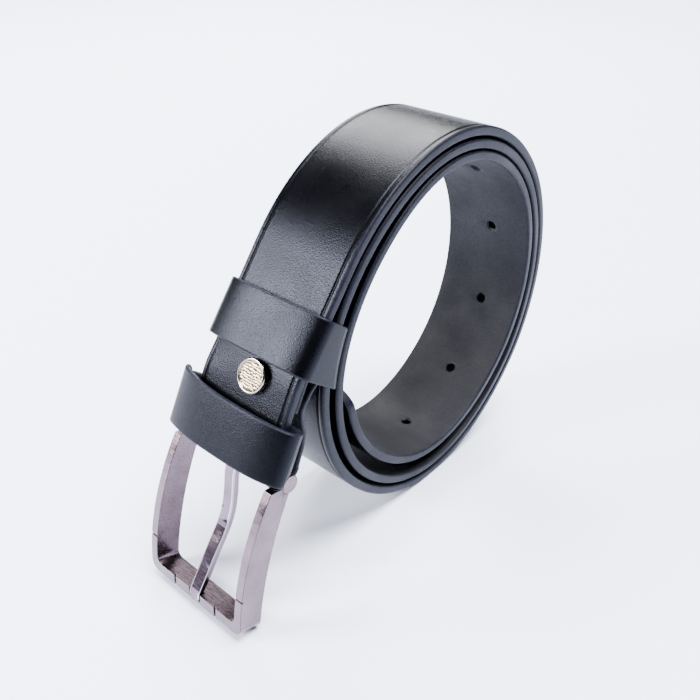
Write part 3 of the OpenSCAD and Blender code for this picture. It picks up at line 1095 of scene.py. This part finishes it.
@dataclass
class OrnamentalScrew:
    """The screw's round head: a bright rim round a recessed, rippled face, and its shank."""

    strap: Strap
    head_r: float = 5.1
    head_h: float = 2.0
    rim_w: float = 0.8
    dish: float = 0.5
    shank_r: float = 1.5
    shank_end: float = 2.0
    ripple: float = 0.06
    segments: int = 96
    face_rings: int = 9
    seat: float = 0.02

    def profile(self) -> list[tuple[float, float, int]]:
        """Radius, height above the leather and material number, from face to shank end."""
        r, top = self.head_r, self.head_h + self.seat
        floor, inner = top - self.dish, self.head_r - self.rim_w
        end = -self.strap.grip + self.shank_end
        face = [(inner * k / self.face_rings, floor) for k in range(1, self.face_rings + 1)]
        rim = [(inner + 0.06, floor + 0.1), (inner + 0.1, top - 0.12), (inner + 0.22, top),
               (r - 0.35, top), (r - 0.12, top - 0.12), (r, top - 0.38), (r, self.seat + 0.35),
               (r - 0.1, self.seat + 0.1), (r - 0.35, self.seat)]
        shank = [(self.shank_r, self.seat), (self.shank_r, end + 0.3), (self.shank_r - 0.3, end)]
        return ([(*place, Head.FACE) for place in face]
                + [(*place, Head.RIM) for place in rim + shank])

    def build(self) -> bpy.types.Object:
        """Turns the head on its axis and ripples its face."""
        route = self.strap.route
        x, z = route.on_end(0, self.strap.screw_at)
        out = -Vector((route.back(route.end_slope)[0], 0, route.back(route.end_slope)[1]))
        place = Vector((x, -self.strap.screw_offset, z))
        turn = Vector((0, 0, 1)).rotation_difference(out).to_matrix()
        points = [place + turn @ Vector((0, 0, self.head_h + self.seat - self.dish))]
        faces, sides = [], []
        rows = self.profile()
        for radius, height, side in rows:
            for k in range(self.segments):
                a = math.tau * k / self.segments
                px, py = radius * math.cos(a), radius * math.sin(a)
                wave = 0.0
                if side == Head.FACE and radius < self.head_r - self.rim_w - 0.01:
                    wave = self.ripple * (math.sin(2.4 * px + 1.3 * math.sin(1.7 * py + 0.6))
                                          * math.cos(1.9 * py + 0.9 * math.sin(1.3 * px)))
                points.append(place + turn @ Vector((px, py, height + wave)))
        n = self.segments
        for k in range(n):
            faces.append((0, 1 + k, 1 + (k + 1) % n))
            sides.append(Head.FACE)
        for i in range(len(rows) - 1):
            for k in range(n):
                here, after, m = 1 + i * n, 1 + (i + 1) * n, (k + 1) % n
                faces.append((here + k, after + k, after + m, here + m))
                sides.append(rows[i + 1][2])
        faces.append(tuple(1 + (len(rows) - 1) * n + k for k in range(n)))
        sides.append(Head.RIM)
        head = make_object("ornamental_screw", points, faces, sides,
                           [GOLD_RIM.material(), AntiqueFace().material()])
        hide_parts("screw_head")
        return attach(head, Body.BELT.value)


@dataclass
class Buckle:
    """The hinged frame with its bar and prong, and the small hardware of the strap end."""

    nodes: dict[str, bpy.types.Object]
    frame_edge: float = 0.15
    prong_edge: float = 0.5
    rod_edge: float = 0.2
    wire_edge: float = 0.12
    frame_angle: float = 60.0

    def dress(self) -> list[bpy.types.Object]:
        """Eases the edges of the solids and plates them."""
        frame, prong = self.nodes["buckle_frame"], self.nodes["prong"]
        # The frame's eased edges take the darker plating, a painted dark reflection along them.
        plate(frame, SATIN, PAINTED_DARK_EDGE_REFLECTION)
        ease_edges(frame, self.frame_edge, 1, self.frame_angle, clamp=False)
        # The prong's eased edges take the polished plating, whose brighter colour is a painted
        # highlight.
        plate(prong, PRONG_PLATE, PAINTED_HIGHLIGHT_EDGE)
        ease_edges(prong, self.prong_edge, 1, clamp=False)
        for name, finish, width in (("buckle_bar", WIRE, self.rod_edge),
                                    ("screw_post", GOLD_RIM, self.rod_edge),
                                    ("lower_keeper_staple", WIRE, self.wire_edge),
                                    ("upper_keeper_staple", WIRE, self.wire_edge)):
            plate(self.nodes[name], finish)
            ease_edges(self.nodes[name], width)
        return [frame, prong]


# ---- The room ----


@dataclass(frozen=True)
class SoftBox:
    """A soft box: where it hangs, its width and height, and its power in watts."""

    name: str
    at: tuple[float, float, float]
    size: Flat
    power: float


BOXES = (SoftBox("box behind on the right", (650, 710, 900), (640, 700), 29.0),
         SoftBox("box behind on the left", (-900, 710, 600), (430, 520), 50.0))


@dataclass
class Studio:
    """The floor, the lights, the pale room and the camera."""

    camera_at: tuple[float, float, float] = (-172.72, -138.40, 196.53)
    right: tuple[float, float, float] = (0.65624, -0.75432, 0.01856)
    up: tuple[float, float, float] = (0.39480, 0.36423, 0.84349)
    back: tuple[float, float, float] = (-0.64302, -0.54620, 0.53683)
    lens: float = 40.35
    sensor: float = 36.0
    floor_half: float = 6000.0
    room_colour: tuple[float, float, float, float] = (0.93, 0.95, 1.0, 1.0)
    room_strength: float = 0.12
    backdrop_strength: float = 6.0
    ceiling_from: tuple[float, float, float] = (0.15, -0.15, 0.97)
    ceiling_strength: float = 15.0
    ceiling_angle: float = 36.0
    aim: tuple[float, float, float] = (0, 0, 60)

    def build(self) -> None:
        """Sets up the room."""
        self.floor()
        self.room()
        self.ceiling()
        for box in BOXES:
            self.soft_box(box)
        self.camera()

    def floor(self) -> None:
        """Lays the paper, with a fine mesh under the belt."""
        steps = [self.floor_half * k for k in (-1, -0.4, -0.1, -0.03, 0, 0.03, 0.1, 0.4, 1)]
        n = len(steps)
        points = [Vector((x, y, -0.02)) for y in steps for x in steps]
        faces = [(j * n + i, j * n + i + 1, (j + 1) * n + i + 1, (j + 1) * n + i)
                 for j in range(n - 1) for i in range(n - 1)]
        make_object("floor", points, faces, [0] * len(faces), [PaperFloor().material()])

    def room(self) -> None:
        """Fills the dim room with a little light, with a white backdrop beyond the paper."""
        world = bpy.data.worlds.new("pale room")
        bpy.context.scene.world = world
        world.use_nodes = True
        tree = world.node_tree
        background = tree.nodes["Background"]
        background.inputs["Color"].default_value = self.room_colour
        rays, strength = tree.nodes.new("ShaderNodeLightPath"), tree.nodes.new("ShaderNodeMapRange")
        strength.inputs["To Min"].default_value = self.room_strength
        strength.inputs["To Max"].default_value = self.backdrop_strength
        tree.links.new(rays.outputs["Is Camera Ray"], strength.inputs["Value"])
        tree.links.new(strength.outputs[0], background.inputs["Strength"])

    def ceiling(self) -> None:
        """Hangs the wide soft light that washes the paper evenly."""
        light = bpy.data.lights.new("ceiling wash", "SUN")
        light.energy, light.angle = self.ceiling_strength, math.radians(self.ceiling_angle)
        lamp = add_object("ceiling wash", light)
        lamp.rotation_euler = (-Vector(self.ceiling_from)).to_track_quat("-Z", "Y").to_euler()

    def soft_box(self, box: SoftBox) -> None:
        """Hangs a soft box and points it at the belt.

        Args:
            box: The box.
        """
        light = bpy.data.lights.new(box.name, "AREA")
        light.shape, light.size, light.size_y = "RECTANGLE", box.size[0] * MM, box.size[1] * MM
        light.energy = box.power
        lamp = add_object(box.name, light)
        lamp.location = Vector(box.at) * MM
        way = Vector(self.aim) - Vector(box.at)
        lamp.rotation_euler = way.to_track_quat("-Z", "Y").to_euler()

    def camera(self) -> None:
        """Places the camera."""
        lens = bpy.data.cameras.new("camera")
        lens.lens, lens.sensor_width = self.lens, self.sensor
        lens.clip_start, lens.clip_end = 0.01, 50.0
        camera = add_object("camera", lens)
        axes = Matrix((self.right, self.up, self.back)).transposed()
        camera.matrix_world = Matrix.Translation(Vector(self.camera_at) * MM) @ axes.to_4x4()
        bpy.context.scene.camera = camera


def main() -> None:
    """Builds the belt and its room."""
    logging.basicConfig(level=logging.INFO, format="%(name)s: %(message)s")
    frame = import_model()
    route = BeltRoute()
    strap = Strap(route, LeatherStrip(35.0))
    LOG.info("strap: %d faces", len(strap.build().data.polygons))
    backing = BackingLeaf(strap, LeatherStrip(34.0, corner=0.5, crease_depth=0))
    LOG.info("backing leaf: %d faces", len(backing.build().data.polygons))

    for keeper in (lower_keeper(route), upper_keeper(route)):
        LOG.info("%s: %d faces", keeper.name, len(keeper.build().data.polygons))
    LOG.info("ornamental screw: %d faces", len(OrnamentalScrew(strap).build().data.polygons))
    for piece in Buckle(frame["nodes"]).dress():
        LOG.info("%s: plated", piece.name)
    Studio().build()


def lower_keeper(route: BeltRoute) -> Keeper:
    """The keeper beside the buckle, which goes round the strap end alone."""
    width, relief = 16.0, 3.35
    return Keeper("lower_keeper", Body.LOWER_LOOP, width, half=20.7, corner=1.85,
                  slope=route.end_slope, foot=route.on_end(0, 0.3),
                  back_depth=lambda up: route.strap_t + 0.4, bow=2.0, relief=relief,
                  belly=0.6, far_rise=1.7, far_reach=1.5, staple_up=(width + relief) / 2)


def upper_keeper(route: BeltRoute) -> Keeper:
    """The keeper that goes round the strap end and the coil's second turn."""
    at, slope = 30.5, route.lift_slope
    turn_from, turn_step, turn_steps = 280, 3, 40
    down, back = route.down(slope), route.back(slope)
    top = route.on_coil(route.lift_off)
    run = math.dist(top, route.bend()[0]) + route.bend_run + route.front_run - at
    turn = []
    for k in range(turn_steps + 1):
        p = route.on_coil(route.lift_off + turn_from + turn_step * k, route.strap_t)
        step = (p[0] - top[0], p[1] - top[1])
        turn.append((step[0] * down[0] + step[1] * down[1], step[0] * back[0] + step[1] * back[1]))
    turn.sort()
    foot = (top[0] + down[0] * run, top[1] + down[1] * run)
    return Keeper("upper_keeper", Body.UPPER_LOOP, width=17.4, half=17.8, corner=2.4,
                  slope=slope, foot=foot,
                  back_depth=lambda up: lookup_straight(run - up, turn) + 0.42,
                  bow=0.9, air=0.5, staple_up=8.7)


if __name__ == "__main__":
    main()
